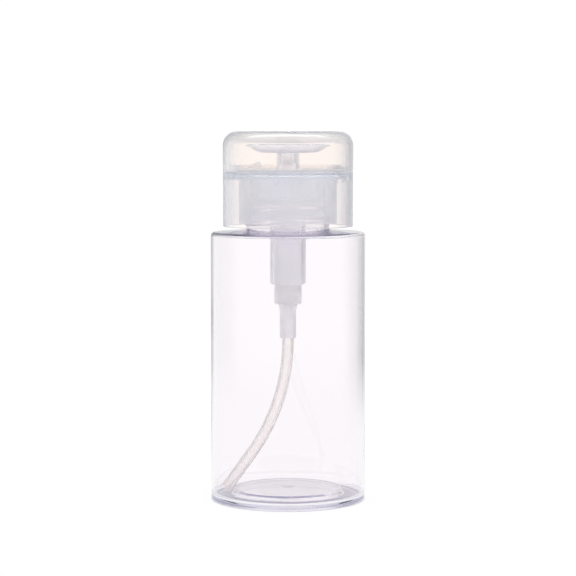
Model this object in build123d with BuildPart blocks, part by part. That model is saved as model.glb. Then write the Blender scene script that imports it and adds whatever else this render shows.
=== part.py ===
from build123d import *
import os
from math import cos, pi, radians, sin, sqrt, tan

# Push dispenser for nail polish remover: a clear bottle with a natural polypropylene pump
# Millimetres, +Z up, origin at the middle of the bottle's foot, -Y faces the viewer

# Gaps between pieces
seat_gap = 0.05       # a piece and the piece that it rests on
press_gap = 0.03      # radial, pieces pushed tightly together
running_gap = 0.06    # radial, pieces that slide in each other
stop_gap = 0.1        # a moving piece and its stop
overrun = 1.0         # how far a cut runs past the face that it opens

# Bottle
body_diameter = 55.0
shoulder_height = 95.6
shoulder_rise = 0.8
shoulder_edge_radius = 1.5
bottle_wall = 0.8
base_wall = 1.0
foot_wall = 1.8
heel_radius = 1.0
heel_inner_radius = 2.0
foot_width = 8.5
foot_edge_radius = 0.5
push_up_slope_width = 0.8
push_up_rise = 3.0
push_up_crown = 0.4
push_up_edge_radius = 0.6
neck_diameter = 29.4
neck_wall = 1.6
neck_height = 9.5
neck_root_radius = 0.6
neck_rim_radius = 0.3

# Screw thread between bottle and closure, which sets the closure's bore
thread_depth = 1.2
thread_gap = 0.2

# Neck gasket and the pump's outer sleeve
gasket_thickness = 1.0
gasket_width = 4.0
flange_overhang = 0.3
flange_thickness = 1.4
flange_edge_radius = 0.3
sleeve_length = 29.0
sleeve_diameter = 12.65
sleeve_bore_diameter = 10.2
sleeve_chamfer = 0.4

# Pump cylinder with its valve block and nipple
cylinder_diameter = 9.75
cylinder_wall = 0.875
cylinder_length = 21.6
cylinder_reach = 7.15
cylinder_rim_radius = 0.5
cylinder_foot_radius = 0.6
taper_diameter = 6.8
taper_length = 2.1
nipple_diameter = 5.8
nipple_length = 10.1
nipple_chamfer = 0.3
valve_block_height = 3.6
valve_channel_diameter = 2.4
tube_seat_below_taper = 1.9

# Check balls
ball_diameter = 3.5
ball_play = 0.55
ball_travel = 0.8
seat_clearance = 0.03

# Ball retainer, a spoked disc that carries the spring
retainer_thickness = 1.0
retainer_hub_diameter = 2.2
retainer_spoke_width = 1.2
retainer_spokes = 3

# Dip tube
tube_diameter = 4.1
tube_bore_diameter = 2.7
tube_bend_radius = 70.0
tube_bend_angle = 36.0
tube_drop_before_bend = 0.8
tube_floor_gap = 0.6

# Stem guide
guide_flange_diameter = 11.5
guide_flange_thickness = 0.8
guide_plug_length = 5.7
guide_tube_wall = 0.74
guide_dip = 1.15

# Piston stem and seal
stem_diameter = 6.2
stem_bore_diameter = 2.4
stem_neck_diameter = 4.4
stem_foot_diameter = 7.2
stem_foot_thickness = 1.0
stroke = 5.0
seal_height = 3.1
seal_lip_height = 0.9
seal_waist = 0.35

# Return spring
spring_wire = 0.6
spring_mean_diameter = 6.4
spring_turns = 7

# Closure
shroud_wall = 0.95
shroud_gap = 4.75
shroud_height = 19.4
shroud_clearance = 2.0
shroud_edge_radius = 0.3
shroud_root_radius = 2.0
lid_step_height = 0.8
lid_step_gap = 0.2
deck_thickness = 1.5
skirt_wall = 1.3
skirt_clearance = 2.4
hold_ring_width = 1.2
hold_ring_overlap = 0.3
guide_collar_wall = 1.1
guide_collar_drop = 4.0
collar_running_gap = 0.08
spill_ring_gap = 3.0
spill_ring_width = 1.0
spill_ring_height = 1.5

# Press dish
dish_lid_gap = 6.8
dish_rim_height = 0.5
dish_lip_width = 0.5
dish_depth = 3.05
dish_flat_diameter = 16.4
dish_wall = 0.9
dish_end_gap = 0.9
socket_diameter = 8.1
socket_end_gap = 0.45
socket_edge_radius = 0.3

# Outlet cap
outlet_diameter = 5.7
outlet_height = 1.4
outlet_edge_radius = 0.9
outlet_skin = 0.6
outlet_plug_length = 1.5
outlet_bore_diameter = 2.0
outlet_hole_diameter = 1.0
outlet_slots = 4
outlet_slot_width = 0.8

# Flip lid
lid_wall = 1.15
lid_top_wall = 1.5
lid_headroom = 2.6
lid_proud = 0.05
lid_corner_radius = 5.0
lid_dishing = 0.1
lid_edge_radius = 0.25
seam_gap = 0.1

# Butterfly hinge, behind on the left, and the thumb grip across from it
hinge_direction = 141.0
hinge_half_angle = 24.0
hinge_proud = 0.8
hinge_rise = 3.3
hinge_web = 0.35
hinge_web_half_width = 1.5
thumb_direction = hinge_direction - 180
thumb_lip_proud = 0.6
thumb_lip_height = 1.8
thumb_circle_radius = 14.75
scoop_radius = 6.2
scoop_depth = 0.4
scoop_drop = 1.6

# Radii
body_radius = body_diameter / 2
foot_ring_radius = body_radius - foot_width
push_up_radius = foot_ring_radius - push_up_slope_width
neck_radius = neck_diameter / 2
neck_bore_radius = neck_radius - neck_wall
skirt_bore_radius = neck_radius + thread_depth + thread_gap
flange_radius = neck_radius + flange_overhang
sleeve_radius = sleeve_diameter / 2
sleeve_bore_radius = sleeve_bore_diameter / 2
cylinder_radius = cylinder_diameter / 2
cylinder_bore_radius = cylinder_radius - cylinder_wall
nipple_radius = nipple_diameter / 2
ball_radius = ball_diameter / 2
ball_chamber_radius = ball_radius + ball_play
valve_channel_radius = valve_channel_diameter / 2
tube_radius = tube_diameter / 2
tube_bore_radius = tube_bore_diameter / 2
stem_radius = stem_diameter / 2
stem_bore_radius = stem_bore_diameter / 2
stem_neck_radius = stem_neck_diameter / 2
stem_foot_radius = stem_foot_diameter / 2
socket_radius = socket_diameter / 2
skirt_radius = skirt_bore_radius + skirt_wall
shroud_bore_radius = skirt_radius + shroud_gap
closure_radius = shroud_bore_radius + shroud_wall
lid_radius = closure_radius + lid_proud
lid_bore_radius = lid_radius - lid_wall
dish_radius = lid_bore_radius - dish_lid_gap
plug_radius = lid_bore_radius - lid_step_gap
collar_bore_radius = socket_radius + collar_running_gap

# Heights of the pump that stands on the neck
rim_height = shoulder_height + neck_height
gasket_bottom = rim_height + seat_gap
flange_bottom = gasket_bottom + gasket_thickness
flange_top = flange_bottom + flange_thickness
sleeve_bottom = flange_bottom - sleeve_length
cylinder_bottom = sleeve_bottom - cylinder_reach
cylinder_top = cylinder_bottom + cylinder_length
taper_bottom = cylinder_bottom - taper_length
nipple_bottom = taper_bottom - nipple_length
tube_seat = taper_bottom - tube_seat_below_taper
spring_floor = cylinder_bottom + valve_block_height
retainer_top = spring_floor + seat_gap + retainer_thickness
guide_bottom = cylinder_top - guide_dip

# A ball rests in a seat of 45 degrees, whose point lies this far under the ball's centre
seat_depth = sqrt(2) * (ball_radius + seat_clearance)
suction_ball_height = spring_floor - ball_travel - ball_radius
suction_seat_point = suction_ball_height - seat_depth

# Heights of the closure, dish and lid
shroud_bottom = shoulder_height + shroud_clearance
step_height = shroud_bottom + shroud_height
deck_top = step_height + lid_step_height
deck_bottom = deck_top - deck_thickness
skirt_bottom = shroud_bottom - shroud_clearance + shoulder_rise + skirt_clearance
hold_ring_bottom = flange_top + seat_gap
collar_bottom = deck_bottom - guide_collar_drop
dish_underside = deck_top + stroke + dish_end_gap
dish_floor = dish_underside + dish_wall
dish_edge = dish_underside + dish_depth
dish_rim = dish_edge + dish_rim_height
socket_bottom = flange_top + stroke + socket_end_gap
outlet_plug_bottom = dish_floor + seat_gap - outlet_plug_length
ball_stop_depth = sqrt(ball_radius ** 2 - (outlet_bore_diameter / 2) ** 2)
discharge_ball_height = outlet_plug_bottom - ball_travel - ball_stop_depth
stem_top = discharge_ball_height - ball_radius / 2
stem_seat_point = discharge_ball_height - seat_depth
lid_bottom = step_height + seam_gap
lid_ceiling = dish_rim + lid_headroom
lid_top = lid_ceiling + lid_top_wall

# Heights of the piston
seal_top = guide_bottom - stop_gap
seal_bottom = seal_top - seal_height
stem_foot_top = seal_bottom - seat_gap
stem_foot_bottom = stem_foot_top - stem_foot_thickness
stem_neck_top = seal_top + seat_gap


def turned(*corners, mode=Mode.ADD):
    """Spin a closed half outline round the axis, from (radius, height, rounding) corners."""
    with BuildSketch(Plane.XZ) as outline:
        with BuildLine():
            FilletPolyline(*[(r, z) for r, z, _ in corners],
                           radius=[rounding for _, _, rounding in corners], close=True)
        make_face()
    revolve(outline.sketch, axis=Axis.Z, mode=mode)


def radial_plane(direction):
    """Upright plane through the axis, its X outwards at a direction in degrees and its Y up."""
    angle = radians(direction)
    return Plane((0, 0, 0), x_dir=(cos(angle), sin(angle), 0), z_dir=(sin(angle), -cos(angle), 0))


def facing_plane(direction):
    """Upright plane through the axis that looks outwards at a direction in degrees, its Y up."""
    angle = radians(direction)
    return Plane((0, 0, 0), x_dir=(-sin(angle), cos(angle), 0), z_dir=(cos(angle), sin(angle), 0))


# Bottle: straight body, nearly flat shoulder, short neck, disc pushed up inside the foot ring
with BuildPart() as bottle:
    turned((0, push_up_rise + push_up_crown, 0),
           (push_up_radius, push_up_rise, push_up_edge_radius),
           (foot_ring_radius, 0, foot_edge_radius),
           (body_radius, 0, heel_radius),
           (body_radius, shoulder_height, shoulder_edge_radius),
           (neck_radius, shoulder_height + shoulder_rise, neck_root_radius),
           (neck_radius, rim_height, neck_rim_radius),
           (0, rim_height, 0))
    turned((0, push_up_rise + push_up_crown + base_wall, 0),
           (push_up_radius + base_wall, push_up_rise + base_wall, push_up_edge_radius),
           (foot_ring_radius + base_wall, foot_wall, foot_edge_radius),
           (body_radius - bottle_wall, foot_wall, heel_inner_radius),
           (body_radius - bottle_wall, shoulder_height - bottle_wall,
            shoulder_edge_radius - bottle_wall),
           (neck_bore_radius, shoulder_height + shoulder_rise - bottle_wall,
            neck_root_radius + bottle_wall),
           (neck_bore_radius, rim_height + overrun, 0),
           (0, rim_height + overrun, 0), mode=Mode.SUBTRACT)

# Gasket: flat ring on the neck's rim
with BuildPart() as neck_gasket:
    with BuildSketch(Plane.XY.offset(gasket_bottom)):
        Circle(flange_radius)
        Circle(flange_radius - gasket_width, mode=Mode.SUBTRACT)
    extrude(amount=gasket_thickness)

# Sleeve: flange that the closure presses on the gasket, and the tube that holds the cylinder
with BuildPart() as pump_sleeve:
    guide_seat = flange_top - guide_flange_thickness
    turned((sleeve_bore_radius, guide_seat, 0),
           (guide_flange_diameter / 2 + press_gap, guide_seat, 0),
           (guide_flange_diameter / 2 + press_gap, flange_top, 0),
           (flange_radius, flange_top, flange_edge_radius),
           (flange_radius, flange_bottom, flange_edge_radius),
           (sleeve_radius, flange_bottom, 0),
           (sleeve_radius, sleeve_bottom, 0),
           (cylinder_radius + press_gap, sleeve_bottom, 0),
           (cylinder_radius + press_gap, cylinder_top + seat_gap, 0),
           (sleeve_bore_radius, cylinder_top + seat_gap, 0))
    sleeve_end = pump_sleeve.edges().filter_by(GeomType.CIRCLE).group_by(Axis.Z)[0]
    chamfer(sleeve_end.sort_by(SortBy.RADIUS)[-1], length=sleeve_chamfer)

# Cylinder: bore for the piston, valve block with the suction seat, taper and nipple
with BuildPart() as pump_cylinder:
    turned((cylinder_bore_radius, cylinder_top, 0),
           (cylinder_radius, cylinder_top, cylinder_rim_radius),
           (cylinder_radius, cylinder_bottom, cylinder_foot_radius),
           (taper_diameter / 2, cylinder_bottom, 0),
           (nipple_radius, taper_bottom, 0),
           (nipple_radius, nipple_bottom, 0),
           (tube_radius + press_gap, nipple_bottom, 0),
           (tube_radius + press_gap, tube_seat, 0),
           (valve_channel_radius, tube_seat, 0),
           (valve_channel_radius, suction_seat_point + valve_channel_radius, 0),
           (ball_chamber_radius, suction_seat_point + ball_chamber_radius, 0),
           (ball_chamber_radius, spring_floor, 0),
           (cylinder_bore_radius, spring_floor, 0))
    nipple_end = pump_cylinder.edges().filter_by(GeomType.CIRCLE).group_by(Axis.Z)[0]
    chamfer(nipple_end.sort_by(SortBy.RADIUS)[-1], length=nipple_chamfer)

# Lower check ball, at rest in its seat
with BuildPart() as suction_ball:
    with Locations((0, 0, suction_ball_height)):
        Sphere(ball_radius)

# Retainer: keeps the ball down, carries the spring and lets the liquid past its spokes
with BuildPart() as ball_retainer:
    window_radius = ball_chamber_radius
    with BuildSketch(Plane.XY.offset(spring_floor + seat_gap)):
        Circle(cylinder_bore_radius - press_gap)
        Circle(window_radius, mode=Mode.SUBTRACT)
        Circle(retainer_hub_diameter / 2)
        with PolarLocations(window_radius / 2, retainer_spokes):
            Rectangle(window_radius + retainer_spoke_width, retainer_spoke_width)
    extrude(amount=retainer_thickness)

# Dip tube: straight out of the nipple, one long bend, straight down to the bottom's corner
tube_top = tube_seat - seat_gap
bend_start = nipple_bottom - tube_drop_before_bend
bend_end_x = tube_bend_radius * (cos(radians(tube_bend_angle)) - 1)
bend_end_z = bend_start - tube_bend_radius * sin(radians(tube_bend_angle))
tube_end_z = foot_wall + tube_floor_gap + tube_radius * sin(radians(tube_bend_angle))
tube_end_x = bend_end_x - (bend_end_z - tube_end_z) * tan(radians(tube_bend_angle))
with BuildPart() as dip_tube:
    with BuildLine() as tube_route:
        Line((0, 0, tube_top), (0, 0, bend_start))
        TangentArc((0, 0, bend_start), (bend_end_x, 0, bend_end_z), tangent=(0, 0, -1))
        Line((bend_end_x, 0, bend_end_z), (tube_end_x, 0, tube_end_z))
    with BuildSketch(Plane.XY.offset(tube_top)):
        Circle(tube_radius)
        Circle(tube_bore_radius, mode=Mode.SUBTRACT)
    sweep(path=tube_route.wires()[0])

# Guide: bush in the sleeve's mouth, whose long tube stops the piston
with BuildPart() as stem_guide:
    guide_bore = stem_radius + running_gap
    guide_flange_bottom = flange_top - guide_flange_thickness + seat_gap
    plug_bottom = guide_flange_bottom - guide_plug_length
    turned((guide_bore, flange_top, 0),
           (guide_flange_diameter / 2, flange_top, 0),
           (guide_flange_diameter / 2, guide_flange_bottom, 0),
           (sleeve_bore_radius - press_gap, guide_flange_bottom, 0),
           (sleeve_bore_radius - press_gap, plug_bottom, 0),
           (guide_bore + guide_tube_wall, plug_bottom, 0),
           (guide_bore + guide_tube_wall, guide_bottom, 0),
           (guide_bore, guide_bottom, 0))

# Stem: hollow rod with the upper ball's seat at its top and a foot for the spring
with BuildPart() as piston_stem:
    turned((stem_bore_radius, stem_seat_point + stem_bore_radius, 0),
           (stem_top - stem_seat_point, stem_top, 0),
           (stem_radius, stem_top, 0),
           (stem_radius, stem_neck_top, 0),
           (stem_neck_radius, stem_neck_top, 0),
           (stem_neck_radius, stem_foot_top, 0),
           (stem_foot_radius, stem_foot_top, 0),
           (stem_foot_radius, stem_foot_bottom, 0),
           (stem_bore_radius, stem_foot_bottom, 0))

# Seal: soft ring in the stem's neck, thin at its waist and wide at its two lips
with BuildPart() as piston_seal:
    lip_radius = cylinder_bore_radius - running_gap
    turned((stem_neck_radius + press_gap, seal_top, 0),
           (lip_radius, seal_top, 0),
           (lip_radius, seal_top - seal_lip_height, 0),
           (lip_radius - seal_waist, seal_top - seal_lip_height - seal_waist, 0),
           (lip_radius - seal_waist, seal_bottom + seal_lip_height + seal_waist, 0),
           (lip_radius, seal_bottom + seal_lip_height, 0),
           (lip_radius, seal_bottom, 0),
           (stem_neck_radius + press_gap, seal_bottom, 0))

# Spring: one round wire, each turn two half circles that tilt opposite ways and meet smoothly
spring_radius = spring_mean_diameter / 2
spring_bottom = retainer_top + seat_gap + spring_wire / 2
spring_top = stem_foot_bottom - seat_gap - spring_wire / 2
half_pitch = (spring_top - spring_bottom) / (2 * spring_turns)


def spring_point(half_turns):
    """Place on the spring's wire after a number of half turns, on the tilted circles."""
    whole = int(half_turns)
    angle = pi * (half_turns - whole)
    side = 1 if whole % 2 == 0 else -1
    height = spring_bottom + half_pitch * (whole + (1 - cos(angle)) / 2)
    return Vector(side * spring_radius * cos(angle), side * spring_radius * sin(angle), height)


with BuildPart() as return_spring:
    with BuildLine() as spring_route:
        for half_turn in range(2 * spring_turns):
            ThreePointArc(spring_point(half_turn), spring_point(half_turn + 1 / 2),
                          spring_point(half_turn + 1))
    with BuildSketch(Plane(spring_point(0), x_dir=(1, 0, 0), z_dir=(0, 1, 0))):
        Circle(spring_wire / 2)
    sweep(path=spring_route.wires()[0])

# Least gap of the spring's wire to its next turn, measured from points along both
points_per_turn = 48
wire_points = [spring_point(2 * step / points_per_turn)
               for step in range(points_per_turn * spring_turns)]
spring_gap = min((a - b).length for i, a in enumerate(wire_points)
                 for b in wire_points[i + points_per_turn // 2:]) - spring_wire
print("least gap between the spring's turns", round(spring_gap, 3), "mm")

# Lid's half of the butterfly hinge: a flared rim, cut to two wings that rise from the middle
with BuildPart() as lid_wings:
    with BuildSketch(radial_plane(hinge_direction - hinge_half_angle)):
        with BuildLine():
            Polyline((lid_radius - lid_wall / 2, lid_bottom),
                     (lid_radius + hinge_proud, lid_bottom),
                     (lid_radius, lid_bottom + hinge_rise),
                     (lid_radius - lid_wall / 2, lid_bottom + hinge_rise), close=True)
        make_face()
    revolve(axis=Axis.Z, revolution_arc=2 * hinge_half_angle)
    wing_reach = lid_radius * sin(radians(hinge_half_angle))
    with BuildSketch(facing_plane(hinge_direction)):
        with BuildLine():
            Polyline((-wing_reach, lid_bottom + hinge_rise),
                     (-hinge_web_half_width, lid_bottom + hinge_web),
                     (hinge_web_half_width, lid_bottom + hinge_web),
                     (wing_reach, lid_bottom + hinge_rise),
                     (wing_reach + overrun, lid_bottom + hinge_rise + overrun),
                     (-wing_reach - overrun, lid_bottom + hinge_rise + overrun), close=True)
        make_face()
    extrude(amount=lid_radius + hinge_proud + overrun, mode=Mode.SUBTRACT)

# Closure: shroud, deck, spill ring, screw skirt, hold-down ring and guide collar in one
with BuildPart() as closure:
    hold_ring_radius = neck_bore_radius + hold_ring_overlap
    turned((collar_bore_radius, deck_top, 0),
           (plug_radius, deck_top, shroud_edge_radius),
           (plug_radius, step_height, 0),
           (closure_radius, step_height, shroud_edge_radius),
           (closure_radius, shroud_bottom, shroud_edge_radius),
           (shroud_bore_radius, shroud_bottom, 0),
           (shroud_bore_radius, deck_bottom, shroud_root_radius),
           (skirt_radius, deck_bottom, 0),
           (skirt_radius, skirt_bottom, 0),
           (skirt_bore_radius, skirt_bottom, 0),
           (skirt_bore_radius, deck_bottom, 0),
           (hold_ring_radius, deck_bottom, 0),
           (hold_ring_radius, hold_ring_bottom, 0),
           (hold_ring_radius - hold_ring_width, hold_ring_bottom, 0),
           (hold_ring_radius - hold_ring_width, deck_bottom, 0),
           (collar_bore_radius + guide_collar_wall, deck_bottom, 0),
           (collar_bore_radius + guide_collar_wall, collar_bottom, 0),
           (collar_bore_radius, collar_bottom, 0))
    with BuildSketch(Plane.XY.offset(deck_top)):
        Circle(dish_radius + spill_ring_gap + spill_ring_width)
        Circle(dish_radius + spill_ring_gap, mode=Mode.SUBTRACT)
    extrude(amount=spill_ring_height)
    add(mirror(lid_wings.part, about=Plane.XY.offset(step_height + seam_gap / 2),
               mode=Mode.PRIVATE))
    # Shallow scoop that lets a thumb under the lid's lip
    with BuildSketch(radial_plane(thumb_direction)):
        with Locations((closure_radius + scoop_radius - scoop_depth, step_height - scoop_drop)):
            Circle(scoop_radius)
    extrude(amount=closure_radius, both=True, mode=Mode.SUBTRACT)

# Upper check ball, at rest in the stem's seat
with BuildPart() as discharge_ball:
    with Locations((0, 0, discharge_ball_height)):
        Sphere(ball_radius)

# Press dish: shallow cup with a thin lip on the tube that holds the stem
with BuildPart() as press_dish:
    bowl_run = dish_radius - dish_lip_width - dish_flat_diameter / 2
    bowl_radius = (bowl_run ** 2 + dish_depth ** 2) / (2 * dish_depth)
    bowl_centre = dish_underside + bowl_radius
    inner_bowl_radius = bowl_radius - dish_wall
    inner_run = sqrt(inner_bowl_radius ** 2 - (bowl_centre - dish_rim) ** 2)
    dish_flat = dish_flat_diameter / 2
    outlet_plug_radius = ball_chamber_radius + press_gap
    with BuildSketch(Plane.XZ):
        with BuildLine():
            Polyline((outlet_plug_radius, dish_floor), (outlet_plug_radius, stem_top + seat_gap),
                     (stem_radius + press_gap, stem_top + seat_gap),
                     (stem_radius + press_gap, socket_bottom), (socket_radius, socket_bottom),
                     (socket_radius, dish_underside), (dish_flat, dish_underside))
            TangentArc((dish_flat, dish_underside), (dish_flat + bowl_run, dish_edge),
                       tangent=(1, 0))
            Polyline((dish_flat + bowl_run, dish_edge), (dish_radius, dish_edge),
                     (dish_radius, dish_rim), (dish_flat + inner_run, dish_rim))
            TangentArc((dish_flat, dish_floor), (dish_flat + inner_run, dish_rim),
                       tangent=(1, 0))
            Line((dish_flat, dish_floor), (outlet_plug_radius, dish_floor))
        make_face()
    revolve(axis=Axis.Z)
    socket_end = press_dish.edges().filter_by(GeomType.CIRCLE).group_by(Axis.Z)[0]
    fillet(socket_end.sort_by(SortBy.RADIUS)[-1], radius=socket_edge_radius)
    socket_root = press_dish.edges().filter_by(GeomType.CIRCLE).filter_by(
        lambda edge: abs(edge.radius - socket_radius) < press_gap
        and abs(edge.center().Z - dish_underside) < press_gap)
    fillet(socket_root, radius=socket_edge_radius)

# Outlet cap: rounded dome over the upper ball, with a hole on top and slots under its edge
with BuildPart() as outlet_cap:
    cap_bottom = dish_floor + seat_gap
    cap_top = cap_bottom + outlet_height
    plug_outer = ball_chamber_radius
    outlet_bore_radius = outlet_bore_diameter / 2
    turned((0, cap_top, 0),
           (outlet_diameter / 2, cap_top, outlet_edge_radius),
           (outlet_diameter / 2, cap_bottom, 0),
           (plug_outer, cap_bottom, 0),
           (plug_outer, outlet_plug_bottom, 0),
           (outlet_bore_radius, outlet_plug_bottom, 0),
           (outlet_bore_radius, cap_top - outlet_skin, 0),
           (0, cap_top - outlet_skin, 0))
    with BuildSketch(Plane.XY.offset(cap_top)):
        Circle(outlet_hole_diameter / 2)
    extrude(amount=-outlet_height, mode=Mode.SUBTRACT)
    with BuildSketch(Plane.XY.offset(outlet_plug_bottom)):
        with PolarLocations(plug_outer, outlet_slots):
            Rectangle(2 * plug_outer, outlet_slot_width)
    extrude(amount=outlet_plug_length / 2, mode=Mode.SUBTRACT)

# Lid: round cap with a slightly sunk top, a thumb lip in front and the hinge's wings behind
with BuildPart() as flip_lid:
    turned((0, lid_top - lid_dishing, 0),
           (lid_radius, lid_top, lid_corner_radius),
           (lid_radius, lid_bottom, lid_edge_radius),
           (lid_bore_radius, lid_bottom, 0),
           (lid_bore_radius, lid_ceiling, lid_corner_radius - lid_wall),
           (0, lid_ceiling - lid_dishing, 0))
    add(lid_wings.part)
    with BuildSketch(Plane.XY.offset(lid_bottom)):
        with PolarLocations(lid_radius + thumb_lip_proud - thumb_circle_radius, 1,
                            start_angle=thumb_direction):
            Circle(thumb_circle_radius)
        Circle(lid_radius - lid_wall / 2, mode=Mode.SUBTRACT)
    extrude(amount=thumb_lip_height)

parts = {
    "bottle": bottle,
    "neck_gasket": neck_gasket,
    "pump_sleeve": pump_sleeve,
    "pump_cylinder": pump_cylinder,
    "suction_ball": suction_ball,
    "ball_retainer": ball_retainer,
    "dip_tube": dip_tube,
    "stem_guide": stem_guide,
    "piston_stem": piston_stem,
    "piston_seal": piston_seal,
    "return_spring": return_spring,
    "closure": closure,
    "discharge_ball": discharge_ball,
    "press_dish": press_dish,
    "outlet_cap": outlet_cap,
    "flip_lid": flip_lid,
}

os.makedirs("parts", exist_ok=True)
for name, piece in parts.items():
    piece.part.label = name
    export_step(piece.part, f"parts/{name}.step")
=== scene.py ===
"""Looks of a push dispenser for nail polish remover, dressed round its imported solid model.

The sizes of the pieces are in millimetres and are multiplied by MM where Blender gets them. The
studio's distances are in metres. +Z is up, and the viewer of the photograph stands on the -Y side.
"""
import logging
import math
from dataclasses import dataclass
from enum import Enum
from functools import partial
from typing import Callable

import bmesh
import bpy
from bpy.types import Material, Node, NodeSocket, NodeTree, Object
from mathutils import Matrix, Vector


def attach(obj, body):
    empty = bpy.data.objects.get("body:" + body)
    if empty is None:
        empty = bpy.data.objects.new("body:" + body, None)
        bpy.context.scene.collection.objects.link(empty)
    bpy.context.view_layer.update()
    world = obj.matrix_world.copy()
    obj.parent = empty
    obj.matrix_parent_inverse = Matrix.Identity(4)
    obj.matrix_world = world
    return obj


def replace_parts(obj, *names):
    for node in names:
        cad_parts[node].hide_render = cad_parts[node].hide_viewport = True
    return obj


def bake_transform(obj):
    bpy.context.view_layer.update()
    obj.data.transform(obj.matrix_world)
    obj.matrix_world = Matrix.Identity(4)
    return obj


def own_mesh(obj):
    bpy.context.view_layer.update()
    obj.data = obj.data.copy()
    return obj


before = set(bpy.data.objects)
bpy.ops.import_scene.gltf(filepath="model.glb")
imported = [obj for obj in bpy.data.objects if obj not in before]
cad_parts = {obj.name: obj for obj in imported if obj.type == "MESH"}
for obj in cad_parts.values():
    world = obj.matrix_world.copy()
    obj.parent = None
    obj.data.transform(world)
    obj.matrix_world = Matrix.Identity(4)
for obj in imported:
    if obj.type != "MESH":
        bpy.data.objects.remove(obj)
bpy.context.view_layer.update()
log = logging.getLogger("push_dispenser")

MM = 0.001
FULL_TURN = 2 * math.pi
MERGE_WITHIN = 0.002 * MM
SAME_HEIGHT = 0.01 * MM
SAME_DIRECTION = 1e-4  # how far apart two unit vectors may be that count as one direction

Levels = tuple[tuple[float, float], ...]
Test = Callable[[Vector], bool]


class Slot(Enum):
    """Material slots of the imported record."""

    CLEAR_PET = "clear_pet"
    NATURAL_PP = "natural_pp"
    SOFT_PE = "soft_pe"
    STEEL = "steel"


def linear(hex_colour: str) -> tuple[float, float, float, float]:
    """Turn an sRGB hex colour into linear light.

    Args:
        hex_colour: six hex digits, such as "f4efe8".

    Returns:
        Red, green, blue and an alpha of 1.
    """
    channels = [int(hex_colour[i:i + 2], 16) / 255 for i in (0, 2, 4)]
    light = [c / 12.92 if c <= 0.04045 else ((c + 0.055) / 1.055) ** 2.4 for c in channels]
    return light[0], light[1], light[2], 1.0


def add_node(tree: NodeTree, kind: str, settings: dict | None = None,
             links: dict | None = None, **attributes: object) -> Node:
    """Add one node with its settings and links.

    Args:
        tree: the node tree that gets it.
        kind: the node's type after "ShaderNode", such as "MixShader".
        settings: values by input name or number.
        links: output sockets, or nodes for their first output, by input name or number.
        **attributes: properties of the node itself.

    Returns:
        The new node.
    """
    made = tree.nodes.new("ShaderNode" + kind)
    for name, value in attributes.items():
        setattr(made, name, value)
    for socket, value in (settings or {}).items():
        made.inputs[socket].default_value = value
    for socket, source in (links or {}).items():
        from_node = isinstance(source, Node)
        tree.links.new(source.outputs[0] if from_node else source, made.inputs[socket])
    return made


def new_material(name: str) -> tuple[Material, NodeTree, Node]:
    """Make an empty node material.

    Args:
        name: what the material is.

    Returns:
        The material, its tree and its output node.
    """
    material = bpy.data.materials.new(name)
    material.use_nodes = True
    tree = material.node_tree
    tree.nodes.clear()
    return material, tree, add_node(tree, "OutputMaterial")


def finish_clear(out: Node, wall: Node, passed_tint: str, depth_tint: str,
                 depth_density: float) -> None:
    """Finish a clear plastic: its walls pass lamp light and scattered light as a tinted pane
    would, and its depth takes a tint.

    Args:
        out: the material's output node.
        wall: the shader node that is seen.
        passed_tint: sRGB hex of the light that one face lets through.
        depth_tint: sRGB hex of the tint that grows with depth.
        depth_density: how fast it grows, per metre.
    """
    tree = out.id_data
    path = add_node(tree, "LightPath")
    pane = add_node(tree, "BsdfTransparent", {"Color": linear(passed_tint)})
    for ray in ("Is Diffuse Ray", "Is Shadow Ray"):
        wall = add_node(tree, "MixShader", links={0: path.outputs[ray], 1: wall, 2: pane})
    depth = add_node(tree, "VolumeAbsorption",
                     {"Color": linear(depth_tint), "Density": depth_density})
    tree.links.new(wall.outputs[0], out.inputs["Surface"])
    tree.links.new(depth.outputs[0], out.inputs["Volume"])


@dataclass(frozen=True)
class ClearPet:
    """Clear PET, blow moulded: glassy and nearly colourless, lavender where it is seen edge on or
    in its thick places, and a little wavy, because the blown wall isn't even."""

    name: str = "clear PET, blow moulded"
    tint: str = "fffdfe"
    depth_tint: str = "9595c4"
    depth_density: float = 34.0
    ior: float = 1.575
    roughness: float = 0.012
    # A blown wall has waves about half as wide as the bottle.
    wave_mm: float = 24.0
    wave_strength: float = 0.05

    def material(self) -> Material:
        """Build the node material.

        Returns:
            The material.
        """
        material, tree, out = new_material(self.name)
        place = add_node(tree, "TexCoord").outputs["Object"]
        wave = add_node(tree, "TexNoise",
                        {"Scale": 1 / (self.wave_mm * MM), "Detail": 1.0}, {"Vector": place})
        bump = add_node(tree, "Bump", {"Strength": self.wave_strength, "Distance": MM},
                        {"Height": wave})
        wall = add_node(tree, "BsdfPrincipled",
                        {"Base Color": linear(self.tint), "Roughness": self.roughness,
                         "IOR": self.ior, "Transmission Weight": 1.0}, {"Normal": bump})
        finish_clear(out, wall, self.tint, self.depth_tint, self.depth_density)
        return material


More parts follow.
